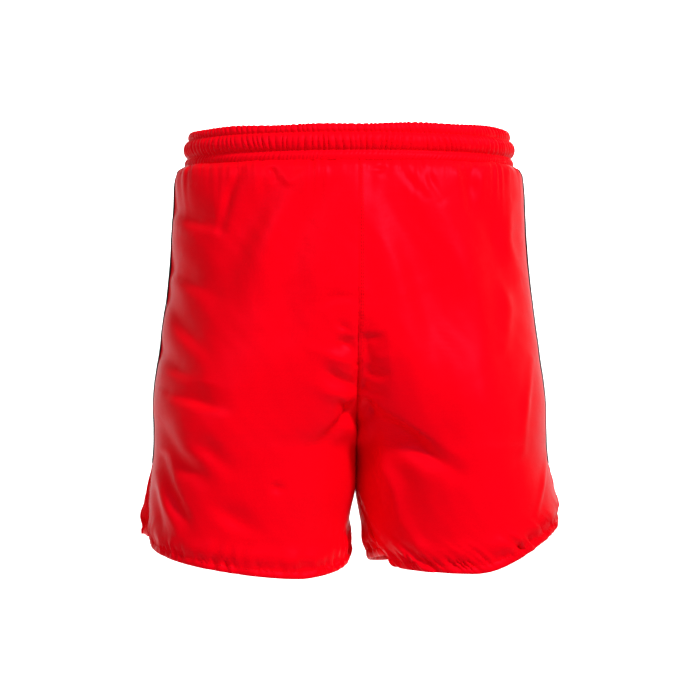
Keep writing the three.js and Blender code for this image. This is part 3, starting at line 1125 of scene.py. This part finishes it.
@dataclass
class SideTape:
    """The tape over one side seam, from the waistband to the slit.

    Attributes:
        hand: which side.
        width: width of the tape, in mm.
        wall: its thickness.
    """

    hand: Hand
    width: float = 12.0
    wall: float = 0.8

    @property
    def side(self) -> str:
        """The side's name, as in its pieces' names."""
        return self.hand.name.lower()

    def place(self, off: Array, z: Array, lift: float) -> Array:
        """Points on the tape.

        Args:
            off: distance from the seam, negative to the back, in mm.
            z: heights.
            lift: distance out from the cloth.

        Returns:
            Points in metres.
        """
        back, front = FORMS[f"back_{self.side}"], FORMS[f"front_{self.side}"]
        rear = back.place(1 - np.abs(off) / back.girth(z), z, lift)
        fore = front.place(1 - np.abs(off) / front.girth(z), z, lift)
        blend = smoothstep(off, -1.2, 1.2)[:, None]
        return rear * (1 - blend) + fore * blend

    def build(self, finishes: Finishes, thread: Stitching) -> bpy.types.Object:
        """Makes and dresses the tape.

        Args:
            finishes: the garment's materials.
            thread: the stitching to add to.

        Returns:
            The tape.
        """
        low, high = BODY.slit_top - 1, BODY.top - 1.5

        def shape(u: Array, v: Array) -> Array:
            """The tape's points."""
            return self.place((u - 0.5) * self.width, high + (low - high) * v, 0.35)

        def scale(u: Array, v: Array) -> Array:
            """Distances across and down the tape, in metres."""
            return np.column_stack([(u - 0.5) * self.width, (low - high) * v]) * MM

        obj = grid(f"seam_tape_{self.side}", 12, 150, shape, scale)
        face_along(obj, Vector((self.hand.value, 0, 0)))
        solidify(obj, self.wall, offset=1.0)
        bevel = obj.modifiers.new("rolled_edge", "BEVEL")
        bevel.width = 0.25 * MM
        bevel.segments = 2
        bevel.limit_method = "ANGLE"
        z = np.linspace(high, low, 300)
        for off in (-4.9, 4.9):
            thread.row(self.place(np.full_like(z, off), z, 0.35 + self.wall + 0.1))
        finish_piece(obj, finishes.tape, [f"side_tape_{self.side}"])
        return obj


# ------------------------------------------------------------------ waistband


@dataclass
class Waistband:
    """A casing gathered over elastic and sewn through in two rows, so that it swells in three rolls.

    Attributes:
        half_width: half the width of the waist, in mm.
        back: depth behind.
        front: depth before.
        top: height of its upper edge.
        bottom: height of the waist seam.
        rows: heights of the two rows of stitches.
        steps: how many stations it has round the waist.
    """

    half_width: float = 142.0
    back: float = 106.0
    front: float = 102.0
    top: float = 15.0
    bottom: float = -16.6
    rows: tuple[float, float] = (7.0, -8.5)
    steps: int = 1440

    # The round section's first radius. Its inner face lies 2 mm nearer the middle.
    RADIUS = 101
    # The outer face's swell at each height.
    SWELL = (
        (-16.6, 1.6), (-14.6, 2.0), (-12.3, 2.1), (-10.2, 1.2), (-9.1, 0.0), (-8.5, -0.6), (-7.9, -0.1),
        (-6.6, 1.3), (-4.0, 2.5), (-0.8, 3.0), (2.2, 2.5), (4.6, 1.3), (6.2, -0.3), (7.0, -1.7),
        (7.7, -1.4), (9.0, -0.7), (11.0, -0.8), (13.2, -1.8), (15.0, -3.2),
    )

    def centre_line(self, angle: Array) -> tuple[Array, Array]:
        """The ring's middle line.

        Args:
            angle: angle round the waist.

        Returns:
            Points and outward normals, as x and y.
        """
        depth = np.where(np.sin(angle) < 0, self.back, self.front)
        point = np.column_stack([self.half_width * np.cos(angle), depth * np.sin(angle)])
        normal = np.column_stack([np.cos(angle) / self.half_width, np.sin(angle) / depth])
        return point, normal / np.linalg.norm(normal, axis=1, keepdims=True)

    def along(self, angle: Array) -> Array:
        """The distance round the waist at each angle, in mm."""
        turns = np.linspace(-np.pi, np.pi, 2001)
        far = distances(self.centre_line(turns)[0])
        return np.interp(angle, turns, far)

    def gathers(self, s: Array, z: Array) -> Array:
        """The gathers' relief: round crests with narrow valleys, which change pitch and slant from roll
        to roll and flatten where the rows of stitches hold them.

        Args:
            s: distance round the waist.
            z: height.

        Returns:
            The movement outwards, in mm.
        """
        upper, lower = self.rows

        def arch(low: float, high: float) -> Array:
            """How far a roll has grown between two rows."""
            return np.sin(np.pi * np.clip((z - low) / (high - low), 0, 1))

        over, under = smoothstep(z, upper, upper + 0.8), smoothstep(z, lower - 0.4, lower + 0.4)
        rolls = (
            (over, 5.0, 0.30, 1.9, 0.9, (z - upper) / (self.top - upper)),
            (under * (1 - over), 5.2, 0.12, 2.3, 0.0, arch(lower, upper)),
            (1 - under, 3.7, -0.55, 1.2, -1.3, arch(self.bottom, lower)),
        )
        out = np.zeros(s.shape)
        for share, pitch, slant, depth, phase, grown in rolls:
            lean = slant + 0.16 * np.sin(s / 47 + phase) + 0.14 * np.sin(s / 13.7 + 2 * phase)
            turns = (s + lean * z) / pitch
            turns = turns + 0.2 * np.sin(turns * 1.13 + phase) + 0.08 * np.sin(turns * 2.71 + 2)
            strength = 0.72 + 0.2 * np.sin(turns * 0.61 + 1.4 * phase) + 0.16 * np.sin(turns * 1.9)
            crest = np.abs(np.cos(np.pi * turns)) ** 0.55 - 0.75
            out += share * depth * strength * crest * (0.3 + 0.7 * np.clip(grown, 0, 1) ** 0.6)
        return out

    def place(self, angle: Array, z: Array, depth: Array) -> Array:
        """Places points of the casing.

        Args:
            angle: angle round the waist.
            z: height before the top edge waves.
            depth: 0 on the outer face and 1 on the inner face.

        Returns:
            Points in metres.
        """
        table = np.asarray(self.SWELL)
        s = self.along(angle)
        point, normal = self.centre_line(angle)
        gathers = self.gathers(s, z)
        frill = smoothstep(z, self.rows[0], self.top)
        slack = 0.35 * np.sin(s / 29) + 0.25 * np.sin(s / 11.7)
        outer = np.interp(z, table[:, 0], table[:, 1]) + gathers + slack
        inner = -3.2 - 1.9 * frill + (0.25 + 0.6 * frill) * gathers
        out = outer * (1 - depth) + inner * depth
        wave = 0.5 * np.sin(s / 37) + 0.4 * np.sin(s / 13 + 1) + 0.009 * point[:, 0]
        rise = frill * (0.5 * gathers + wave)
        xy = point + normal * out[:, None]
        return np.column_stack([xy, z + rise]) * MM

    def build_casing(self) -> bpy.types.Object:
        """Spins the casing's section round the waist, then gathers it."""
        bm = bmesh.new()
        section = bmesh.ops.create_circle(bm, segments=56, radius=1.0)["verts"]
        # Most of the section's points go to the outer face: up it, over, down the inner face and back.
        stops = [0.0, 0.6, 0.64, 0.96, 1.0]
        for vert in section:
            share = math.atan2(vert.co.y, vert.co.x) / (2 * math.pi) % 1.0
            depth = np.interp(share, stops, [0, 0, 1, 1, 0])
            heights = [self.bottom, self.top, self.top, self.bottom, self.bottom]
            vert.co = Vector((self.RADIUS - 2 * depth, 0, np.interp(share, stops, heights)))
        bmesh.ops.spin(
            bm,
            geom=list(bm.verts) + list(bm.edges),
            axis=(0, 0, 1),
            cent=(0, 0, 0),
            angle=2 * math.pi,
            steps=self.steps,
            use_merge=True,
        )
        mesh = bpy.data.meshes.new("gathered_waistband")
        bm.to_mesh(mesh)
        bm.free()
        co = vertex_points(mesh)
        angle = np.arctan2(co[:, 1], co[:, 0])
        depth = np.clip((self.RADIUS - np.hypot(co[:, 0], co[:, 1])) / 2, 0, 1)
        cloth = np.column_stack([self.along(angle), co[:, 2] + 4 * depth]) * MM
        drape(mesh, self.place(angle, co[:, 2], depth), cloth)
        obj = linked("gathered_waistband", mesh)
        closed(obj)
        return obj

    def build(self, finishes: Finishes, thread: Stitching) -> bpy.types.Object:
        """Makes and dresses the waistband.

        Args:
            finishes: the garment's materials.
            thread: the stitching to add to.

        Returns:
            The waistband.
        """
        obj = finish_piece(self.build_casing(), finishes.gathered, ["waistband"])
        angle = np.linspace(-np.pi, np.pi, 3000)
        for height in self.rows:
            line = self.place(angle, np.full_like(angle, height), np.zeros_like(angle))
            thread.row(line + np.column_stack([self.centre_line(angle)[1], np.zeros_like(angle)]) * 0.15 * MM)
        return obj


# ------------------------------------------------------------------ studio


@dataclass
class Studio:
    """A pale floor that curves up behind, soft light and the camera.

    Attributes:
        distance: from the camera to the garment, in metres.
        field: width of the view at the garment.
        eye: height of the camera.
        floor: height of the floor.
        back: where the floor starts to curve up, in metres behind the garment.
        bend: radius of that curve.
    """

    distance: float = 2.2
    field: float = 0.616
    eye: float = -0.176
    floor: float = -1.6
    back: float = 1.6
    bend: float = 1.4

    def build_floor(self) -> bpy.types.Object:
        """Makes the floor and the sweep behind it, which glow faintly as painted light."""

        def shape(u: Array, v: Array) -> Array:
            """A floor that turns up into a wall, which stands higher than the view."""
            run = (1 - v) * 9.8 - 4.5
            past = np.clip(run - self.back, 0, None)
            turn = np.clip(past / self.bend, 0, math.pi / 2)
            rest = np.clip(past - self.bend * math.pi / 2, 0, None)
            y = np.minimum(run, self.back) + self.bend * np.sin(turn)
            z = self.floor + self.bend * (1 - np.cos(turn)) + rest
            return np.column_stack([(u - 0.5) * 14, y, z])

        floor = grid("floor", 4, 98, shape, lambda u, v: np.column_stack([u, v]))
        face_along(floor, Vector((0, 0, 1)))
        floor.data.shade_smooth()
        material, _, shader = blank("pale_floor")
        shader.inputs["Base Color"].default_value = srgb("f6f6f6")
        shader.inputs["Roughness"].default_value = 0.9
        shader.inputs["Specular IOR Level"].default_value = 0.1
        # Painted light: the floor and sweep glow faintly, besides the light they take from the lamps.
        shader.inputs["Emission Color"].default_value = (1, 1, 1, 1)
        shader.inputs["Emission Strength"].default_value = 0.12
        floor.data.materials.append(material)
        return floor

    def light(self, name: str, where: Vec3, aim: Vec3, size: float, power: float) -> None:
        """Adds a soft light.

        Args:
            name: the light's name.
            where: its place, in metres.
            aim: the point it looks at.
            size: width of its face.
            power: in watts.
        """
        lamp = bpy.data.lights.new(name, "AREA")
        lamp.shape = "SQUARE"
        lamp.size = size
        lamp.energy = power
        obj = linked(name, lamp)
        obj.location = where
        obj.rotation_euler = (Vector(aim) - Vector(where)).to_track_quat("-Z", "Y").to_euler()

    def build(self) -> None:
        """Makes the floor, the lights and the camera."""
        self.build_floor()
        scene = bpy.context.scene
        scene.view_settings.view_transform = "Standard"
        world = bpy.data.worlds.new("studio")
        world.use_nodes = True
        world.node_tree.nodes["Background"].inputs["Color"].default_value = (1, 1, 1, 1)
        world.node_tree.nodes["Background"].inputs["Strength"].default_value = 0.16
        scene.world = world
        middle = (0.0, 0.0, self.eye)
        self.light("key", (1.2, -1.6, 1.4), middle, 0.45, 66)
        self.light("fill", (-1.7, -1.9, 1.5), middle, 1.2, 27)
        self.light("backdrop", (0.0, 1.9, 1.0), (0.0, 3.0, -0.2), 0.8, 75)
        camera = bpy.data.cameras.new("camera")
        camera.sensor_width = 36.0
        camera.lens = 36.0 * self.distance / self.field
        eye = linked("camera", camera)
        eye.location = (0.0009, -self.distance, self.eye)
        eye.rotation_euler = (math.pi / 2, 0, 0)
        scene.camera = eye


def main() -> None:
    """Builds the garment piece by piece, then the studio."""
    logging.basicConfig(level=logging.INFO, format="%(relativeCreated)d %(name)s: %(message)s")
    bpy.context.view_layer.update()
    finishes = Finishes.build()
    red, dark = Stitching("red_topstitching"), Stitching("tape_stitching", length=1.9, pitch=2.4, width=0.4)
    for form in FORMS.values():
        LegPanel(form).build(finishes, red)
    for hand in Hand:
        SideTape(hand).build(finishes, dark)
    Waistband().build(finishes, red)
    red.build(finishes.thread, "hem")
    dark.build(finishes.dark_thread, "tape")
    Studio().build()


if __name__ == "__main__":
    main()
